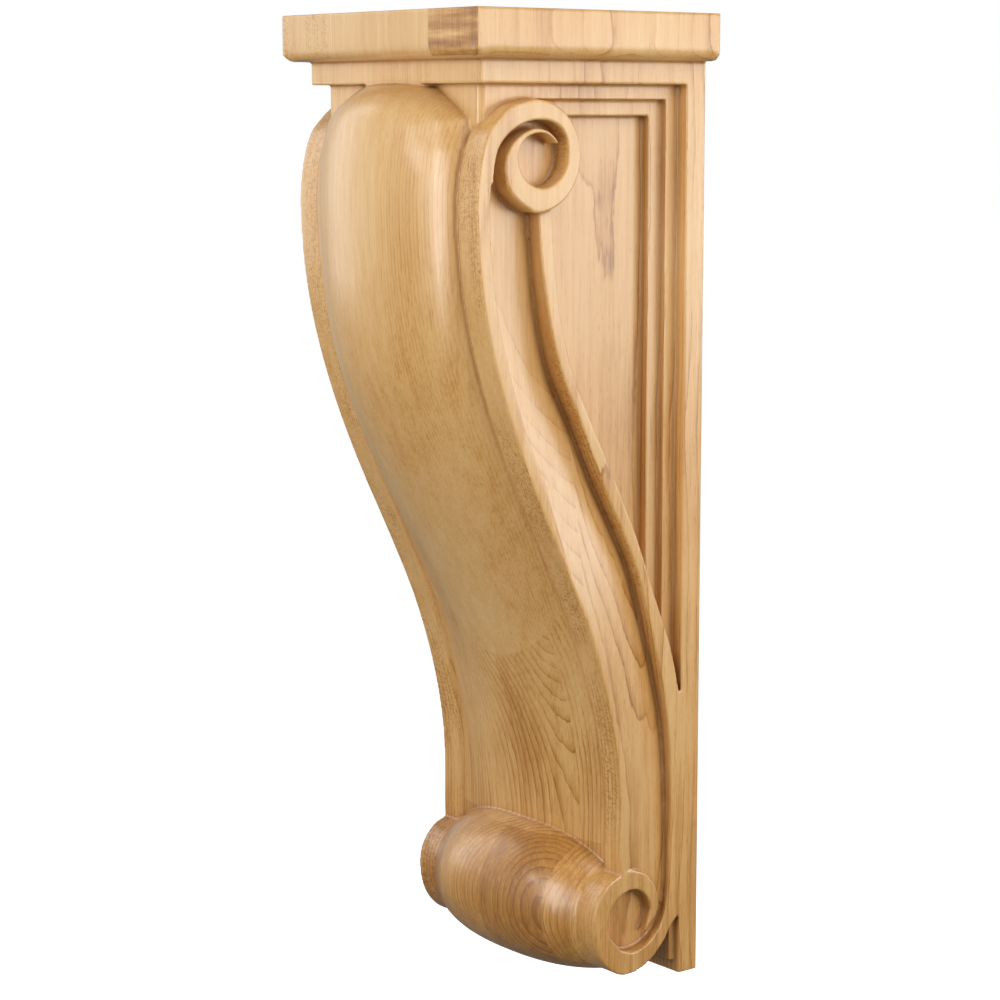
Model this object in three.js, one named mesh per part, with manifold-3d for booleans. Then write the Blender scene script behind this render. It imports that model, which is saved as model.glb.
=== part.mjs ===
// Scroll corbel carved in wood: a tall S-shaped bracket under a square cap, with a bulging
// cushion down the front, a roll at the foot and a spiral at both ends of each side.
// Sizes in mm. X is the width, Y runs from the front (negative) to the wall (0), Z is up.
// Outlines are drawn as (y, z) with z counted from the foot; the finished body is moved so
// that the middle of its flat back is the origin.
import * as THREE from 'three';
import { ParametricGeometry } from 'three/addons/geometries/ParametricGeometry.js';
import { mergeVertices } from 'three/addons/utils/BufferGeometryUtils.js';
import Module from 'manifold-3d';

const wasm = await Module();
wasm.setup();

// Overall sizes
const height = 559;
const bodyWidth = 161;
const capOverhang = 12;
const capEdge = 20.5;
const capRound = 6;
const bandHeight = 13;
const bandDepth = 160.5;
const neckSetback = 5.5;
const neckChamfer = 3;

// Back plate and the stepped sunk panel on each side
const plateThickness = 14;
const blockFoot = 7.5;
const footStep = 4;
const footInset = 4.5;
const footTop = 40;
const fieldFoot = 60;
const frameSteps = [8.5, 4.5, 6];
const frameWidths = [8.5, 9];

// Rims, ridges and their reliefs
const rimProud = 4;
const rimFace = 17.5;
const rimNarrowing = 3.5;
const beadWidth = 8.5;
const channelDepth = 12.5;
const lowPocketDepth = 9;
const valleyDepth = 3;
const valleyFlank = 3;
const valleyTop = 497;
const valleyEnd = 70;
const channelTop = 466;
const channelEnd = 44;
const stepEnd = 225;
const stepRun = 195;
const ridgeCore = 4;
const clearance = 9;

// Spirals: centres of the discs and of the eyes
const topDisc = new THREE.Vector2(-125.5, 480.5);
const topDiscRadius = 30.5;
const topEye = new THREE.Vector2(-121, 481);
const eyeRadius = 17.7;
const lowDisc = new THREE.Vector2(-56.5, 44);
const lowDiscRadius = 26;
const lowEye = new THREE.Vector2(-54.5, 41);

// Cushion and the roll at the foot
const shoulder = 496;
const shoulderTaper = 0.53;
const rollAxis = new THREE.Vector2(-57, 45);
const rollEndRadius = 28;
const rollMidRadius = 44;
const rollHalf = 74;
const rollShift = new THREE.Vector2(8, -6);

// Lines that follow from the sizes above
const bodyHalf = bodyWidth / 2;
const rimHalf = bodyHalf + rimProud;
const rimInner = rimHalf - rimFace;
const capHalf = bodyHalf + capOverhang;
const capDepth = bandDepth + capOverhang;
const capUnder = height - capEdge;
const bandTop = capUnder - capRound;
const bandFoot = bandTop - bandHeight;
const neckDepth = bandDepth - neckSetback;
const neckHalf = bodyHalf - frameSteps[0];
const fieldHalf = neckHalf - frameSteps[1] - frameSteps[2];

// Curves drawn through a few points, (y, z)
const curve = (...p) => new THREE.SplineCurve(p.map(([y, z]) => new THREE.Vector2(y, z)));
const front = curve([-125.5, 511], [-141.5, 508], [-152, 500], [-159, 491.5], [-163.3, 479],
  [-166, 462], [-166.3, 446], [-163.9, 415], [-157.2, 380], [-144.7, 340], [-127.3, 298.5],
  [-106, 255], [-87, 214], [-73.4, 174], [-65.4, 137], [-63, 108], [-63.2, 80], [-62.5, 66]);
const crown = curve([-181.5, 497], [-184.2, 470], [-184, 440], [-181, 400], [-173, 360],
  [-157.5, 320], [-137, 280], [-115, 240], [-94.5, 200], [-79.5, 160], [-71.5, 120], [-68.5, 85],
  [-68, 60]);
const ridgeFront = curve([-122.5, 462], [-121, 446], [-118.2, 418], [-112.4, 388], [-103.8, 359],
  [-90.3, 332], [-75, 298], [-60.2, 270], [-48, 244], [-38.8, 214], [-29.6, 181], [-23.6, 153],
  [-21.2, 125], [-21, 100], [-21.7, 75], [-23.4, 50], [-26.8, 37], [-33.5, 28], [-42.5, 22.5],
  [-53, 21], [-62, 24]);
const ridgeBack = curve([-113.5, 462], [-112, 446], [-107.6, 402], [-98.6, 366], [-85.5, 337],
  [-70.7, 309], [-48.8, 264], [-35.6, 230], [-23.2, 200], [-16.5, 174], [-12.5, 154]);
const lowTurn = curve([-13, 37], [-19.5, 31], [-26.5, 22], [-37, 13.5], [-49.5, 9], [-61.5, 9.3],
  [-71.3, 14.8], [-78.7, 24.5], [-82.2, 37], [-81.9, 49.5], [-77.6, 59], [-69.5, 66.5],
  [-58, 70]);
const topBand = curve([-156, 458], [-155.6, 466], [-154.5, 476], [-151.6, 485.2], [-144.5, 493],
  [-135, 498], [-125.5, 500], [-115.2, 499], [-107.8, 494.8], [-104, 488], [-103.3, 481]);
const topTurn = curve([-109.7, 485.2], [-113, 490.5], [-119.5, 494.5], [-128, 495.2],
  [-137.3, 491], [-144.3, 484], [-147, 474.5], [-144.7, 463.5], [-137.5, 456.3], [-127, 450]);
const topEyeLine = curve([-109.7, 485.2], [-113.2, 489], [-118.5, 492.3], [-125, 493],
  [-132, 490.8], [-136.8, 486], [-138.7, 479.5]);
const lowTurnTip = curve([-30.5, 44], [-33.3, 39.5], [-37, 36], [-42, 31.7]);
const ridgeFall = curve([10.2, 466], [11.5, 418], [14, 365], [12.8, 310], [11, 245], [10, 189],
  [9.4, 140], [6.8, 77], [5, 44]);

// Helpers: a geometry as a solid, a side outline carried across the width, stations joined
const solid = (geometry) => {
  geometry.deleteAttribute('uv');
  geometry.deleteAttribute('normal');
  const g = mergeVertices(geometry, 1e-3);
  const vertProperties = new Float32Array(g.attributes.position.array);
  const triVerts = new Uint32Array(g.index.array);
  return new wasm.Manifold(new wasm.Mesh({ numProp: 3, vertProperties, triVerts }));
};
const sideAxes = new THREE.Matrix4().makeBasis(new THREE.Vector3(0, 1, 0),
  new THREE.Vector3(0, 0, 1), new THREE.Vector3(1, 0, 0));
const across = (points, from, to) => {
  const g = new THREE.ExtrudeGeometry(new THREE.Shape(points),
    { depth: to - from, bevelEnabled: false });
  return solid(g.translate(0, 0, from).applyMatrix4(sideAxes));
};
const through = (points, half) => across(points, -half, half);
const bothSides = (part) => part.add(part.mirror([1, 0, 0]));
const block = (half, y0, y1, z0, z1) => {
  const g = new THREE.BoxGeometry(2 * half, y1 - y0, z1 - z0);
  return solid(g.translate(0, (y0 + y1) / 2, (z0 + z1) / 2));
};
const join = (rings) => {
  const n = rings.length + 1;
  const m = rings[0].length;
  const centre = (ring) => ring.reduce((a, p) => a.add(p), new THREE.Vector3()).divideScalar(m);
  const ends = [centre(rings[0]), centre(rings[n - 2])];
  const place = (u, v, target) => {
    const i = Math.round(u * n);
    const j = Math.round(v * m) % m;
    target.copy(i === 0 ? ends[0] : i === n ? ends[1] : rings[i - 1][j]);
  };
  return solid(new ParametricGeometry(place, n, m));
};
const loft = (rings) => {
  const joined = join(rings);
  return joined.volume() > 0 ? joined : join([...rings].reverse());
};
const point = (y, z) => new THREE.Vector2(y, z);
const arc = (c, r, a0, a1, n) => Array.from({ length: n + 1 }, (_, i) => {
  const a = THREE.MathUtils.degToRad(a0 + (a1 - a0) * i / n);
  return point(c.x + r * Math.cos(a), c.y + r * Math.sin(a));
});
const at = (line, height) => {
  const ends = [line[0].y, line[line.length - 1].y];
  const z = THREE.MathUtils.clamp(height, Math.min(...ends), Math.max(...ends));
  const i = line.findIndex((p, k) => k > 0 && (line[k - 1].y - z) * (p.y - z) <= 0);
  const [p, q] = [line[i - 1], line[i]];
  return p.x + (q.x - p.x) * (p.y === q.y ? 0 : (z - p.y) / (q.y - p.y));
};
const ease = (t) => THREE.MathUtils.smoothstep(t, 0, 1);

const frontLine = front.getPoints(51);
const crownLine = crown.getPoints(60);
const ridgeLine = ridgeFront.getPoints(60);
const ridgeBackLine = ridgeBack.getPoints(20);
const lowTurnLine = lowTurn.getPoints(36);
const ridgeFallLine = ridgeFall.getPoints(30);

// Cap: square-edged slab with a rounded lower edge over a soffit
const capRing = (inset, z) => [[-1, 1], [1, 1], [1, 0], [-1, 0]].map(([sx, sy]) =>
  new THREE.Vector3(sx * (capHalf - inset), -sy * (capDepth - inset), z));
const roundSteps = [0, 0.2, 0.4, 0.6, 0.8, 1].map((t) => t * Math.PI / 2);
const cap = loft([capRing(0, height), ...roundSteps.map((a) =>
  capRing(capRound * (1 - Math.cos(a)), capUnder - capRound * Math.sin(a)))]);

// Frame: band under the cap, back plate, and the three sunk steps inside them
const stepHalf = [neckHalf, neckHalf - frameSteps[1]];
const stepEdge = [frameWidths[0], frameWidths[0] + frameWidths[1]];
let body = cap
  .add(block(bodyHalf, -bandDepth, 0, bandFoot, bandTop + 1))
  .add(block(bodyHalf, -plateThickness, 0, 0, bandTop))
  .add(block(bodyHalf - footInset, -plateThickness - footStep, 0, blockFoot, footTop));
for (const k of [0, 1]) {
  const [half, edge] = [stepHalf[k], stepEdge[k]];
  body = body
    .add(block(half, -plateThickness - edge, 0, fieldFoot, bandFoot))
    .add(block(half, -neckDepth + 30, 0, bandFoot - edge, bandFoot));
}

// Neck under the band with chamfered corners
const neckPlan = new THREE.Shape([[-neckHalf, -neckDepth + neckChamfer],
  [-neckHalf + neckChamfer, -neckDepth], [neckHalf - neckChamfer, -neckDepth],
  [neckHalf, -neckDepth + neckChamfer], [neckHalf, -120], [-neckHalf, -120]]
  .map(([x, y]) => new THREE.Vector2(x, y)));
const neck = solid(new THREE.ExtrudeGeometry(neckPlan, { depth: 60, bevelEnabled: false })
  .translate(0, 0, bandFoot - 60));
body = body.add(neck);

// Field of the panel, which is also the heart of the block
const heart = [point(0, blockFoot), point(0, bandFoot), point(-neckDepth + 10, bandFoot),
  ...frontLine.filter((p) => p.y < 495).map((p) => point(p.x + 12, p.y)), point(-50, 30)];
body = body.add(through(heart, fieldHalf));

// Scroll between the front line and the ridge, with its two discs
const scrollSide = [...frontLine, ...ridgeLine.filter((p) => p.y > 46)
  .map((p) => point(p.x + ridgeCore, p.y)).reverse()];
const disc = through(arc(topDisc, topDiscRadius, 0, 350, 35), rimHalf);
const scroll = through(scrollSide, rimHalf).add(disc);
const lowSide = [...lowTurnLine, ...arc(lowDisc, lowDiscRadius, 80, 20, 6), point(-26, 60),
  point(-13, 62)];
const tiltRings = [-10, 71].map((z) => [[bodyHalf, 5], [bodyHalf, -21.5], [rimHalf, -62],
  [rimHalf + 20, -62], [rimHalf + 20, 5]].map(([x, y]) => new THREE.Vector3(x, y, z)));
const low = through(lowSide, rimHalf);
const tilt = bothSides(loft(tiltRings));
const ridge = through([...ridgeLine.filter((p) => p.y > 38), point(-13, 37),
  ...ridgeBackLine.slice().reverse()], bodyHalf);
const aboveRidge = bothSides(across([...ridgeLine.filter((p) => p.y > 42), point(-10, 42),
  ...ridgeBackLine.slice().reverse()], bodyHalf, rimHalf + clearance)).subtract(disc);
body = body.add(scroll).subtract(aboveRidge).add(low).subtract(tilt).add(ridge);

// Channel between rim and ridge: a step beside the rim that fades out downwards, and a floor
// that falls towards the ridge
const outside = rimHalf + clearance;
const stepAt = (z) => channelDepth * ease((z - stepEnd) / stepRun);
const channelRings = Array.from({ length: 36 }, (_, i) => {
  const z = channelTop + (channelEnd - channelTop) * i / 35;
  const step = stepAt(z);
  const y0 = at(frontLine, z) + beadWidth * Math.min(1, step / 4 + 0.02);
  const y1 = at(ridgeLine, z) + ridgeCore - 1;
  return [[y0, outside], [y0, rimHalf + 0.01], [y0 + 1.5, rimHalf - step],
    [y1, bodyHalf - at(ridgeFallLine, z)], [y1, outside]].map(([y, x]) => new THREE.Vector3(x, y, z));
});
const lowTurnSide = [...arc(lowDisc, lowDiscRadius, 180, 0, 24), ...lowTurnTip.getPoints(8),
  lowEye];
const lowTurnBody = across(lowTurnSide, 40, rimHalf + 20);
const channel = loft(channelRings).subtract(ridge).subtract(lowTurnBody);

// Upper spiral: groove between the rim and the inner turn, then the eye
const topFloor = rimHalf - channelDepth;
const turnSide = [...topTurn.getPoints(40), point(-98, 450), topEye];
const topGroove = across([...topBand.getPoints(44), ...arc(topEye, eyeRadius, 0, -90, 8), topEye,
  point(-140, 462), point(-141, 456)], topFloor, outside);
const topEyeSide = [...topEyeLine.getPoints(18), ...arc(topEye, eyeRadius, 185, 372, 22)];
const topReliefs = channel.add(topGroove).subtract(across(turnSide, 40, rimHalf + 20))
  .add(across(topEyeSide, topFloor, outside));

// Lower spiral: the channel runs round inside the foot of the ridge into the eye
const lowFloor = rimHalf - lowPocketDepth;
const lowGroove = across([...ridgeLine.filter((p) => p.y < 46), lowEye, point(-33, 46)],
  lowFloor, outside).subtract(lowTurnBody);
const lowEyeSide = [...arc(lowEye, eyeRadius, 8, 205, 24), point(-62, 24), point(-53, 21),
  point(-45, 24), point(-42, 31.7), point(-39.5, 36.5)];
const lowReliefs = lowGroove.add(across(lowEyeSide, lowFloor, outside));
body = body.subtract(bothSides(topReliefs.add(lowReliefs)));

// Valley cut into the front beside each rim, and the cushion that rises from it
const innerAt = (z) => rimInner + rimNarrowing * (1 - ease((z - 90) / 130));
const valleyRings = Array.from({ length: 34 }, (_, i) => {
  const z = valleyTop - (valleyTop - valleyEnd) * i / 33;
  const [w, y] = [innerAt(z), at(frontLine, z)];
  return [[-w, -260], [-w, y], [valleyFlank - w, y + valleyDepth], [w - valleyFlank, y + valleyDepth], [w, y],
    [w, -260]].map(([x, yy]) => new THREE.Vector3(x, yy, z));
});
body = body.subtract(loft(valleyRings));
const cushionTop = bandFoot;
const cushionRings = Array.from({ length: 44 }, (_, i) => {
  const z = i < 9 ? cushionTop - (cushionTop - shoulder) * (1 - Math.cos(i * Math.PI / 18))
    : shoulder - (shoulder - 60) * (i - 8) / 35;
  const rise = THREE.MathUtils.clamp((z - shoulder) / (cushionTop - shoulder), 0, 1);
  const half = (innerAt(z) - 1.5) * (1 - shoulderTaper * Math.pow(rise, 1.35));
  const base = rise > 0 ? -neckDepth + 1 : at(frontLine, z) + valleyDepth;
  const top = rise > 0 ? at(crownLine, shoulder) : at(crownLine, z);
  const full = (base - top) * Math.sqrt(Math.max(0, 1 - rise * rise * 0.95));
  const power = 0.55 + 0.4 * (1 - ease((z - 190) / 190));
  return Array.from({ length: 20 }, (_, j) => {
    const s = j < 17 ? -Math.cos(j * Math.PI / 16) : [0.7, 0, -0.7][j - 17];
    const y = j < 17 ? base - full * Math.pow(Math.max(0, 1 - s * s), power) : base + 12;
    return new THREE.Vector3(s * half, y, z);
  });
});
body = body.add(loft(cushionRings));

// Roll at the foot: rings that shrink to the ends and sink there towards the lower spiral
const rollSwell = rollMidRadius - rollEndRadius;
const rollRings = Array.from({ length: 19 }, (_, i) => {
  const s = Math.sin(Math.PI * (i - 9) / 18.6);
  const sink = Math.pow(Math.abs(s), 3);
  const r = rollEndRadius + rollSwell * Math.pow(1 - Math.pow(Math.abs(s), 2.5), 0.8);
  const c = point(rollAxis.x + rollShift.x * sink, rollAxis.y + rollShift.y * sink);
  return arc(c, r, 0, 351, 39).map((p) => new THREE.Vector3(s * rollHalf, p.x, p.y));
});
body = body.add(loft(rollRings).subtract(block(100, -30, 40, -20, 120)));

// Finished corbel, with the middle of its back as the origin
const mesh = body.translate([0, 0, -height / 2]).getMesh();
const geometry = new THREE.BufferGeometry();
geometry.setAttribute('position', new THREE.BufferAttribute(mesh.vertProperties, 3));
geometry.setIndex(new THREE.BufferAttribute(mesh.triVerts, 1));
geometry.computeVertexNormals();
const maple = new THREE.MeshStandardMaterial({ color: 0xd9a566, roughness: 0.45, metalness: 0 });
const corbel = new THREE.Mesh(geometry, maple);
corbel.name = 'corbel';

const group = new THREE.Group();
group.name = 'scroll_corbel';
group.add(corbel);
export default group;
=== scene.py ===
# %% [markdown]
# # A carved maple scroll corbel
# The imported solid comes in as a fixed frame: one block, 559 mm tall, with the middle of its
# flat back at the origin, its front towards -Y and its cap up +Z. Everything made here is in
# metres in that same frame, so nothing has to be fitted afterwards.

# %% Load the frame
import math
import bmesh
import bpy
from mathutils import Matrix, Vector, kdtree


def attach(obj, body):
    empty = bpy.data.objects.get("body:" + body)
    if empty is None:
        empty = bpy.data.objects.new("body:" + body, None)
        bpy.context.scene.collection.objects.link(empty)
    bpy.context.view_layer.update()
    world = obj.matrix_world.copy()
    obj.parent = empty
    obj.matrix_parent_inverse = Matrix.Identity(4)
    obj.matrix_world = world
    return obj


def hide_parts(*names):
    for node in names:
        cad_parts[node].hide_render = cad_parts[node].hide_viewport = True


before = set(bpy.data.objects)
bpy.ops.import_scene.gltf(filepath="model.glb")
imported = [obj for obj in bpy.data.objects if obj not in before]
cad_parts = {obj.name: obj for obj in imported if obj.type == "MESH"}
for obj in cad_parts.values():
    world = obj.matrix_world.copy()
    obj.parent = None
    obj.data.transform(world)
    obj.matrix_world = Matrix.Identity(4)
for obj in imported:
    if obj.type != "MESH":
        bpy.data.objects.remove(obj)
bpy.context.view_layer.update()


# %% [markdown]
# ## The carved block
# On the real corbel one glued-up block is sawn, carved and sanded, and then lacquered. Sanding
# takes the sharpness off each arris, by about a millimetre, and softens the foot of each
# hollow. A bevel modifier stumbles where so many cuts meet. A voxel remesh, two rounds of
# smoothing and a decimation ease all of them together, as sandpaper does, so that is the way
# taken. It starts from a merged copy of the solid, and the solid itself stays untouched.

# %% Copy the solid and merge its loose triangles
merge_reach = 0.00001

bpy.ops.object.select_all(action="DESELECT")
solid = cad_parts["corbel"]
block = bpy.data.objects.new("carved_block", solid.data.copy())
bpy.context.scene.collection.objects.link(block)
block.select_set(True)
bpy.context.view_layer.objects.active = block
bpy.ops.object.mode_set(mode="EDIT")
bpy.ops.mesh.select_all(action="SELECT")
bpy.ops.mesh.remove_doubles(threshold=merge_reach)
bpy.ops.object.mode_set(mode="OBJECT")
print("merged copy:", len(block.data.vertices), "points,", len(block.data.polygons), "faces")


# %% A helper for modifiers
def shape_with(piece, kind, name, **settings):
    """Adds one modifier to the piece, sets it up and applies it."""
    modifier = piece.modifiers.new(name, kind)
    for key, value in settings.items():
        setattr(modifier, key, value)
    bpy.context.view_layer.objects.active = piece
    bpy.ops.object.modifier_apply(modifier=modifier.name)
    print(name, "leaves", len(piece.data.polygons), "faces")


# %% [markdown]
# Where the cushion, the neck and the rim meet, the carver works right into the corner and leaves
# no pit. A small ball on each side fills the corner, and the remesh below welds it in.

# %% Fill the two corners under the neck
corner_x, corner_y, corner_z = 0.0635, -0.1508, 0.216
ball_radius = 0.0043

for side in (-1, 1):
    bpy.ops.object.select_all(action="DESELECT")
    place = (corner_x * side, corner_y, corner_z)
    bpy.ops.mesh.primitive_ico_sphere_add(subdivisions=3, radius=ball_radius, location=place)
    block.select_set(True)
    bpy.context.view_layer.objects.active = block
    bpy.ops.object.join()
print("with the two corners filled:", len(block.data.polygons), "faces")

# %% [markdown]
# The arrises are found on the solid, before its facets are rounded away: they are the edges
# where two faces meet at a clear angle. Points along them go into a search tree, which later
# tells how far away the nearest arris is.

# %% Find the arrises
crease = math.radians(24)
spacing = 0.001

outline = bmesh.new()
outline.from_mesh(block.data)
points = []
for edge in outline.edges:
    if len(edge.link_faces) == 2 and edge.calc_face_angle() > crease:
        a, b = (v.co for v in edge.verts)
        steps = max(1, math.ceil((b - a).length / spacing))
        points += [a.lerp(b, k / steps) for k in range(steps + 1)]
outline.free()
arrises = kdtree.KDTree(len(points))
for k, point in enumerate(points):
    arrises.insert(point, k)
arrises.balance()
print("points along the arrises:", len(points))

# %% [markdown]
# The remesh lays a fine, even skin over the block, and one light smoothing takes the sharpness
# off every arris.

# %% Ease the arrises
voxel = 0.0008

shape_with(block, "REMESH", "fine_skin", mode="VOXEL", voxel_size=voxel, use_smooth_shade=True)
shape_with(block, "SMOOTH", "sanding", factor=0.5, iterations=1)

# %% [markdown]
# The cushion and the roll are sanded until no flat is left on them. So the points that lie away
# from every arris are smoothed many times more, and the arrises stay as they are. Between the
# two the sanding grows in steps, so that no edge shows where it begins.

# %% How strongly a point is sanded
kept_reach, light_reach, half_reach = 0.0026, 0.0036, 0.005
gently, halfway, fully = 0.3, 0.6, 1.0


def sanding_at(away):
    """The weight of the sanding, from the distance to the nearest arris in metres."""
    if away <= kept_reach:
        return 0
    if away < light_reach:
        return gently
    return halfway if away < half_reach else fully


# %% Sand the open surfaces
levels = {gently: [], halfway: [], fully: []}
for vertex in block.data.vertices:
    weight = sanding_at(arrises.find(vertex.co)[2])
    if weight:
        levels[weight].append(vertex.index)
open_surface = block.vertex_groups.new(name="open_surface")
for weight, chosen in levels.items():
    open_surface.add(chosen, weight, "REPLACE")
    print("sanded with weight", weight, "are", len(chosen), "points")
shape_with(block, "SMOOTH", "fine_sanding", factor=0.9, iterations=80, vertex_group="open_surface")

# %% [markdown]
# The skin is far finer than the finished piece has to be. Decimation takes points out where the
# surface is nearly flat and keeps them along the carving. The block then takes the solid's place.

# %% Thin the mesh and put it in the solid's place
triangles_wanted = 190000

triangles = sum(len(p.vertices) - 2 for p in block.data.polygons)
shape_with(block, "DECIMATE", "thinning", ratio=triangles_wanted / triangles)
bpy.ops.object.shade_smooth()
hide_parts("corbel")
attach(block, "root")
print("triangles:", triangles, "before,", sum(len(p.vertices) - 2 for p in block.data.polygons), "after")

# %% [markdown]
# ## Maple under satin lacquer
# The block is glued up from upright staves, so the wood is a solid pattern that the carving
# cuts through: growth rings round a distant pith, fibres that run up the block, and a tone of
# its own for each stave. One material reads Object coordinates, and so the rings come out as
# straight lines on one face and as arches on another, with no seams anywhere.

# %% The material, and helpers that add nodes to it
wood = bpy.data.materials.new("maple_wood")
wood.use_nodes = True
tree = wood.node_tree
tree.nodes.clear()


def put(value, socket):
    """Links a socket or sets a plain value."""
    if isinstance(value, bpy.types.NodeSocket):
        tree.links.new(value, socket)
    else:
        socket.default_value = value


def calc(operation, *values):
    """One math node; gives its result."""
    n = tree.nodes.new("ShaderNodeMath")
    n.operation = operation
    for value, socket in zip(values, n.inputs):
        put(value, socket)
    return n.outputs[0]


def stretch(vector, scale):
    """The vector times a scale for each axis."""
    n = tree.nodes.new("ShaderNodeVectorMath")
    n.operation = "MULTIPLY"
    put(vector, n.inputs[0])
    put(scale, n.inputs[1])
    return n.outputs[0]


def noise(vector, scale, detail=3.0, rough=0.5):
    """Noise on the vector stretched by scale, about 0 to 1."""
    n = tree.nodes.new("ShaderNodeTexNoise")
    put(stretch(vector, scale), n.inputs["Vector"])
    n.inputs["Scale"].default_value = 1.0
    n.inputs["Detail"].default_value = detail
    n.inputs["Roughness"].default_value = rough
    return n.outputs["Fac"]


# %% Helpers for sums, products and limits
def times(first, *others):
    """The product of two or more values."""
    for other in others:
        first = calc("MULTIPLY", first, other)
    return first


def plus(first, *others):
    """The sum of two or more values."""
    for other in others:
        first = calc("ADD", first, other)
    return first


def scaled(value, gain, start):
    """The value times a gain, added to a start."""
    return calc("MULTIPLY_ADD", value, gain, start)


def below(value, limit):
    """1 where the value is under the limit, and 0 elsewhere."""
    return calc("LESS_THAN", value, limit)


def above(value, limit):
    """1 where the value is over the limit, and 0 elsewhere."""
    return calc("GREATER_THAN", value, limit)


# %% Helpers for colours
def ramp(value, stops, interpolation="LINEAR"):
    """A colour ramp with (position, colour) stops."""
    n = tree.nodes.new("ShaderNodeValToRGB")
    n.color_ramp.interpolation = interpolation
    while len(n.color_ramp.elements) > 1:
        n.color_ramp.elements.remove(n.color_ramp.elements[-1])
    n.color_ramp.elements[0].position = stops[0][0]
    n.color_ramp.elements[0].color = (*stops[0][1], 1)
    for position, colour in stops[1:]:
        n.color_ramp.elements.new(position).color = (*colour, 1)
    put(value, n.inputs["Fac"])
    return n.outputs["Color"]


def channels(colour):
    """Red, green and blue of a colour as three sockets."""
    n = tree.nodes.new("ShaderNodeSeparateColor")
    put(colour, n.inputs[0])
    return n.outputs


def level(value, stops):
    """A curve of straight stretches through (position, height) stops; gives one number."""
    return channels(ramp(value, [(position, (height,) * 3) for position, height in stops]))[0]


def blend(factor, a, b, mode="MIX"):
    """Mixes two colours."""
    n = tree.nodes.new("ShaderNodeMix")
    n.data_type = "RGBA"
    n.blend_type = mode
    put(factor, n.inputs["Factor"])
    put(a, n.inputs["A"])
    put(b, n.inputs["B"])
    return n.outputs["Result"]


# %% [markdown]
# The pattern is easiest to think of in millimetres, so the coordinates are stretched to them
# once. The places where the wood changes are named here, as heights over the middle of the back,
# distances from the middle plane and, with a minus sign, distances in front of the wall.

# %% Where in the block, in millimetres
mm = stretch(tree.nodes.new("ShaderNodeTexCoord").outputs["Object"], (1000, 1000, 1000))
split = tree.nodes.new("ShaderNodeSeparateXYZ")
put(mm, split.inputs[0])
x, y, z = split.outputs
side_x = calc("ABSOLUTE", x)

cap_foot = 252.0
rim_top = 222.0
front_layer_foot = -150.0
roll_top = -196.0
roll_half = 65.0
layer_joint = -90.0
rims_back = -45.0
plate_front = -16.0
print("mm over the middle of the back: cap from", cap_foot, "and roll up to", roll_top)

# %% [markdown]
# The block is taken to be glued up from two layers of staves, with the front layer above the
# foot only. Each stave was cut from another board, so it has a tone of its own, and the pith of
# its tree lies at another place outside it. A ramp of constant steps holds the three numbers of
# each stave as a colour.

# %% Which stave
half_span = 100
pith_span = 600


def staves(rows):
    """Tone and pith place of each stave: rows of (left edge, tone, pith x, pith y) in mm."""
    stops = []
    for edge, stave_tone, pith_at_x, pith_at_y in rows:
        position = max(0, (edge + half_span) / (2 * half_span))
        stops.append((position, (stave_tone, pith_at_x / pith_span + 0.5, pith_at_y / pith_span + 0.5)))
    return ramp(scaled(x, 1 / (2 * half_span), 0.5), stops, "CONSTANT")


front_rows = [
    (-100, 0.60, 240, -140),
    (-44, 0.60, -280, -130),
    (25.5, 0.52, -290, -110),
    (49, 0.50, -280, -150),
]
back_rows = [
    (-100, 0.50, 120, -120),
    (-50, 0.58, 25, -128),
    (-1, 0.42, 66, -136),
    (48.5, 0.53, -45, -62),
]
in_front = times(below(y, layer_joint), above(z, front_layer_foot))
tone, pith_x, pith_y = channels(blend(in_front, staves(back_rows), staves(front_rows)))
print(len(front_rows), "staves in front and", len(back_rows), "behind them")

# %% [markdown]
# The annual rings of maple are fine brown lines. They lie about two millimetres apart in the
# front staves. In the staves behind, which come from nearer the pith, they are about three apart,
# wavering and stronger. The distance from the pith, bent a little by noise, counts the rings, and
# one line is drawn for each whole number.


# %% A value that differs between the two layers
def by_layer(front, back):
    """One value in the front staves and another in those behind."""
    return scaled(in_front, front - back, back)


# %% Growth rings
from_x = calc("SUBTRACT", x, scaled(pith_x, pith_span, -pith_span / 2))
from_y = calc("SUBTRACT", y, scaled(pith_y, pith_span, -pith_span / 2))
radius = calc("SQRT", plus(times(from_x, from_x), times(from_y, from_y)))
sway = noise(mm, (0.010, 0.010, 0.0036), 2.0)
waver = noise(mm, (0.06, 0.06, 0.012), 4.0, 0.6)
rings_per_mm = by_layer(0.45, 0.32)
swayed = scaled(radius, rings_per_mm, times(sway, by_layer(1.2, 5.5)))
ring_count = plus(swayed, times(waver, by_layer(0.35, 1.1)))
ring = level(calc("FRACT", ring_count), [(0, 0), (0.55, 0.10), (0.84, 0.42), (0.92, 1), (0.97, 0)])
ring_patch = level(noise(mm, (0.03, 0.03, 0.010), 3.0), [(0.36, 0.20), (0.66, 1)])

# %% [markdown]
# Fibres, pores and streaks all run up the block, so their noise is stretched along Z. The clouds
# are the slow changes of tone that any board has.

# %% Fibres, pores, streaks and clouds
fibre = noise(mm, (0.9, 0.9, 0.03), 4.0, 0.65)
pore = level(noise(mm, (1.2, 1.2, 0.14), 1.0), [(0.60, 0), (0.72, 1)])
streak = noise(mm, (0.16, 0.16, 0.004), 4.0, 0.65)
cloud = noise(mm, (0.022, 0.022, 0.009))
print("nodes for rings and fibres:", len(tree.nodes))

# %% [markdown]
# Where a face is cut square to the rings, the wood rays show as a lacy fleck: on the rims, on the
# lower scroll and on the left end of the cap. The contour lines of a noise give that lace.

# %% Ray fleck on the faces that look forward near both sides
rim_inner, rim_outer = 66, 69
fleck_end = -46.0

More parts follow.
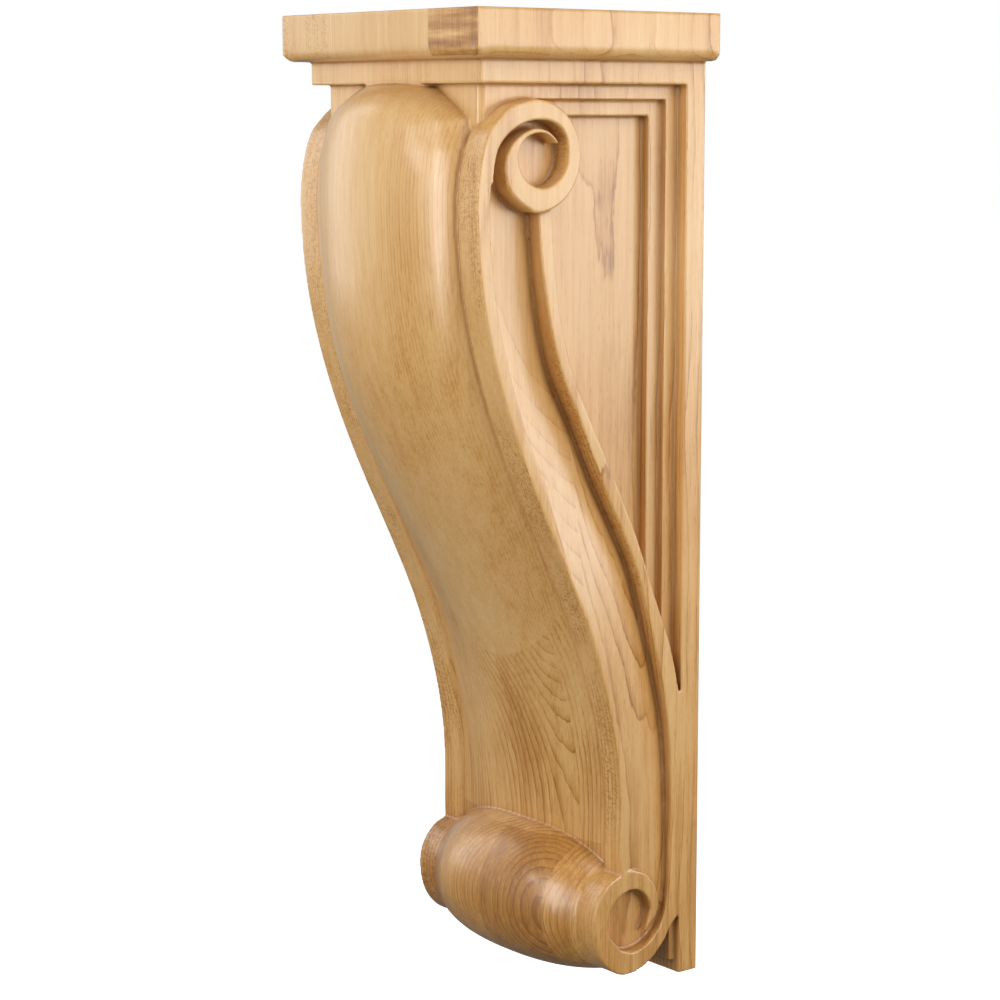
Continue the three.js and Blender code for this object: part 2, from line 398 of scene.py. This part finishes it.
facing = tree.nodes.new("ShaderNodeSeparateXYZ")
put(tree.nodes.new("ShaderNodeNewGeometry").outputs["Normal"], facing.inputs[0])
forward = level(times(facing.outputs[1], -1), [(0.35, 0), (0.75, 1)])
rim = level(times(side_x, 0.01), [(rim_inner / 100, 0), (rim_outer / 100, 1)])
rim_front = times(rim, below(z, rim_top), below(y, rims_back))
in_cap = above(z, cap_foot)
cap_end = times(in_cap, below(x, fleck_end))
outer = calc("MAXIMUM", rim_front, cap_end)
lace = level(noise(mm, (0.26, 0.26, 0.42), 1.5, 0.6), [(0.43, 0), (0.475, 1), (0.50, 1), (0.545, 0)])
fleck_area = level(noise(mm, (0.03, 0.03, 0.010), 1.0), [(0.42, 0.15), (0.56, 1)])
fleck = times(forward, outer, lace, fleck_area)

# %% [markdown]
# At the right end of the cap's front a short darker piece is let in, with its bands level.

# %% The dark piece in the cap
dark_piece_start = 49.0

let_in = times(in_cap, above(x, dark_piece_start), above(forward, 0.5))
bands = noise(mm, (0.018, 0.018, 0.16), 4.0, 0.6)
let_in_part = times(let_in, scaled(bands, 3.0, -0.95))

# %% [markdown]
# Every part of the pattern now becomes a share of one depth of tone. Towards the foot and on the
# roll the colour is darker: partly the wood's own deeper tone, and partly painted shade for the
# weaker light low down. The staves also differ more there. The depth goes through one ramp
# from straw to brown, so all the marks keep to the colours of one wood.

# %% Depth of tone
ring_part = times(ring, ring_patch, by_layer(0.60, 0.98))
fibre_part = scaled(fibre, 0.90, scaled(pore, 0.22, -0.46))
streak_part = scaled(streak, 0.9, -0.45)
cloud_part = scaled(cloud, 1.0, -0.50)
at_foot = below(z, roll_top)
stave_part = times(calc("SUBTRACT", 0.5, tone), scaled(at_foot, 1.1, 0.9))
# Darker towards the foot and on the roll: partly the wood's own tone, partly painted shade.
upwards = scaled(z, 0.002, 0.6)
from_foot = level(upwards, [(0.10, 0.37), (0.24, 0.21), (0.50, 0.03), (1, 0)])
on_roll = times(at_foot, below(side_x, roll_half), below(y, plate_front))
foot_tone_and_shade = scaled(on_roll, 0.24, calc("SUBTRACT", from_foot, 0.12))
grain = plus(ring_part, fibre_part, streak_part, cloud_part)
depth = plus(grain, scaled(fleck, 0.46, let_in_part), foot_tone_and_shade, stave_part)

# %% Colour
wood_tones = [
    (0, (0.80, 0.53, 0.24)),
    (0.40, (0.685, 0.383, 0.126)),
    (0.65, (0.530, 0.247, 0.052)),
    (1, (0.30, 0.115, 0.018)),
]
colour = ramp(scaled(depth, 0.62, 0.40), wood_tones)
print("nodes as far as the colour:", len(tree.nodes))


# %% [markdown]
# Shade is painted into the hollows: the colour darkens where little light gets in. How open a place is
# tells where: once within the width of a moulding, and once right in the corners.

# %% How open a place is
def open_share(reach):
    """How open the place is within the reach in metres: 1 in the open, less in a corner."""
    n = tree.nodes.new("ShaderNodeAmbientOcclusion")
    n.samples = 4
    n.only_local = True
    n.inputs["Distance"].default_value = reach
    return n.outputs["AO"]


# %% Painted shade in hollows and corners
moulding_reach, corner_reach = 0.007, 0.003
untinted = (1, 1, 1)

moulding = open_share(moulding_reach)
corner = open_share(corner_reach)
# Painted shade: the colour darkens in hollows and corners, where less light falls.
painted_hollow_shade = ramp(moulding, [(0, (0.40, 0.28, 0.18)), (0.5, (0.76, 0.66, 0.54)), (0.85, untinted)])
painted_corner_shade = ramp(corner, [(0.35, (0.24, 0.14, 0.07)), (0.62, (0.56, 0.41, 0.27)), (0.90, untinted)])
colour = blend(1.0, colour, painted_hollow_shade, "MULTIPLY")
colour = blend(1.0, colour, painted_corner_shade, "MULTIPLY")
print("openness is measured within", moulding_reach, "and", corner_reach, "m")

# %% [markdown]
# The satin lacquer is a coat over the wood. It fades out in the corners, where the mesh is a
# little rounder than the real carving and a glint would show that. The fibres raise the surface
# by less than a tenth of a millimetre.

# %% Shader
bump = tree.nodes.new("ShaderNodeBump")
bump.inputs["Strength"].default_value = 0.12
bump.inputs["Distance"].default_value = 0.0004
put(fibre, bump.inputs["Height"])
shader = tree.nodes.new("ShaderNodeBsdfPrincipled")
put(colour, shader.inputs["Base Color"])
put(bump.outputs["Normal"], shader.inputs["Normal"])
lacquer = level(corner, [(0.55, 0), (0.85, 1)])
put(scaled(lacquer, -0.5, scaled(fibre, 0.12, 0.86)), shader.inputs["Roughness"])
put(times(lacquer, 0.9), shader.inputs["Coat Weight"])
shader.inputs["Coat Roughness"].default_value = 0.25
out = tree.nodes.new("ShaderNodeOutputMaterial")
put(shader.outputs["BSDF"], out.inputs["Surface"])
block.data.materials.clear()
block.data.materials.append(wood)
print("the wood has", len(tree.nodes), "nodes")

# %% [markdown]
# ## Floor, light and camera
# The corbel is shown alone against white. A wide pale floor lies well below it, a pale world
# stands for the studio's white walls, and eight soft lights model the carving. The floor gives
# no light of its own to the wood, so it can be as white as the walls.

# %% Floor
floor_size, floor_height = 30, -0.62

bpy.ops.object.select_all(action="DESELECT")
bpy.ops.mesh.primitive_plane_add(size=floor_size, location=(0, 0, floor_height))
floor = bpy.context.object
floor.name = "floor"
paper = bpy.data.materials.new("white_paper")
paper.use_nodes = True
sheet_shader = paper.node_tree.nodes["Principled BSDF"]
sheet_shader.inputs["Base Color"].default_value = (0.9, 0.9, 0.9, 1)
sheet_shader.inputs["Roughness"].default_value = 0.9
sheet_shader.inputs["Emission Color"].default_value = (1, 1, 1, 1)
sheet_shader.inputs["Emission Strength"].default_value = 0.75
floor.data.materials.append(paper)
floor.visible_diffuse = False
floor.visible_glossy = False
print("floor", floor_size, "m wide at", floor_height, "m")

# %% [markdown]
# White walls light the corbel mostly from the sides, and little from straight above or below. So
# the world's strength follows a ramp over the height of the direction: 0 is straight down, 0.5
# the horizon and 1 straight up. The camera sees plain white instead.

# %% World
wall_strengths = [(0.0, 0.10), (0.36, 0.16), (0.48, 0.50), (0.62, 0.56), (0.90, 0.18)]

world = bpy.data.worlds.new("studio")
bpy.context.scene.world = world
world.use_nodes = True
sky = world.node_tree
sky.nodes.clear()
direction = sky.nodes.new("ShaderNodeTexCoord")
parts = sky.nodes.new("ShaderNodeSeparateXYZ")
sky.links.new(direction.outputs["Generated"], parts.inputs[0])
height = sky.nodes.new("ShaderNodeMapRange")
height.inputs["From Min"].default_value = -1
height.inputs["From Max"].default_value = 1
sky.links.new(parts.outputs[2], height.inputs["Value"])
glow = sky.nodes.new("ShaderNodeValToRGB")
for k, (position, strength) in enumerate(wall_strengths):
    stop = glow.color_ramp.elements[k] if k < 2 else glow.color_ramp.elements.new(position)
    stop.position = position
    stop.color = (strength, strength, strength, 1)
sky.links.new(height.outputs[0], glow.inputs["Fac"])
walls = sky.nodes.new("ShaderNodeBackground")
walls.inputs["Color"].default_value = (1.0, 0.99, 0.97, 1)
sky.links.new(glow.outputs["Color"], walls.inputs["Strength"])
seen = sky.nodes.new("ShaderNodeBackground")
seen.inputs["Color"].default_value = (1, 1, 1, 1)
seen.inputs["Strength"].default_value = 1.0
path = sky.nodes.new("ShaderNodeLightPath")
either = sky.nodes.new("ShaderNodeMixShader")
sky.links.new(path.outputs["Is Camera Ray"], either.inputs[0])
sky.links.new(walls.outputs[0], either.inputs[1])
sky.links.new(seen.outputs[0], either.inputs[2])
sky_out = sky.nodes.new("ShaderNodeOutputWorld")
sky.links.new(either.outputs[0], sky_out.inputs[0])
print("the world has", len(sky.nodes), "nodes")

# %% [markdown]
# Each light is a softbox, set up round the corbel as in a studio: at an angle, a distance and a
# height, and turned to face it. Big boxes give the even veils on the sides, and the strip and
# the small boxes give the streak on the cushion and the glints on the roll and the mouldings.

# %% Helpers for lights
middle_y = -0.08


def softbox(name, where, aim, size, power):
    """A rectangular white area light at where, turned to face aim."""
    lamp = bpy.data.lights.new(name, "AREA")
    lamp.shape = "RECTANGLE"
    lamp.size, lamp.size_y = size
    lamp.energy = power
    holder = bpy.data.objects.new(name, lamp)
    bpy.context.scene.collection.objects.link(holder)
    holder.location = where
    holder.rotation_euler = (Vector(aim) - Vector(where)).to_track_quat("-Z", "Y").to_euler()


def around(degrees, distance, up):
    """A place at an angle round the corbel: 0 is the side at +X, and -90 its front."""
    turn = math.radians(degrees)
    return (distance * math.cos(turn), middle_y + distance * math.sin(turn), up)


def inside(up):
    """A place in the corbel's middle, at a height."""
    return (0, middle_y, up)


# %% Lights
boxes = [
    ("right_box", around(48, 1.4, 0.15), inside(0), (1.6, 0.5), 8.0),
    ("side_box", around(12, 1.4, 0.35), inside(0), (0.6, 0.6), 5.6),
    ("front_box", around(-76, 1.2, 0.20), inside(0), (0.7, 0.7), 5.0),
    ("strip_box", around(-80, 1.4, 0.20), inside(0), (0.12, 1.2), 3.8),
    ("key_box", around(-104, 1.4, 0.50), inside(-0.20), (0.16, 0.16), 1.3),
    ("left_box", around(-155, 1.5, 0.45), inside(0), (0.6, 1.3), 4.0),
    ("near_box", around(-10, 0.55, 0.75), inside(0.2), (0.35, 0.35), 1.1),
    ("top_box", around(-30, 0.35, 1.2), inside(-0.2), (0.15, 0.15), 0.7),
]
for name, where, aim, size, power in boxes:
    softbox(name, where, aim, size, power)
print(len(boxes), "lights,", round(sum(box[4] for box in boxes), 1), "W in all")

# %% [markdown]
# The camera stands to the right of the front, a little above the middle, and looks slightly
# down. It has a long lens and is about 1.6 m away, so the upright lines stay almost parallel.

# %% Camera
tilt_down, turn_left = 0.1443, 0.90664

camera = bpy.data.objects.new("camera", bpy.data.cameras.new("camera"))
bpy.context.scene.collection.objects.link(camera)
camera.data.lens = 96.02
camera.data.sensor_width = 36
camera.data.clip_start = 0.05
camera.data.clip_end = 60
camera.location = (1.21374, -1.03527, 0.22444)
camera.rotation_euler = (math.pi / 2 - tilt_down, 0, turn_left)
bpy.context.scene.camera = camera
bpy.context.scene.view_settings.view_transform = "Standard"
print("the camera is", round(camera.location.length, 2), "m away")
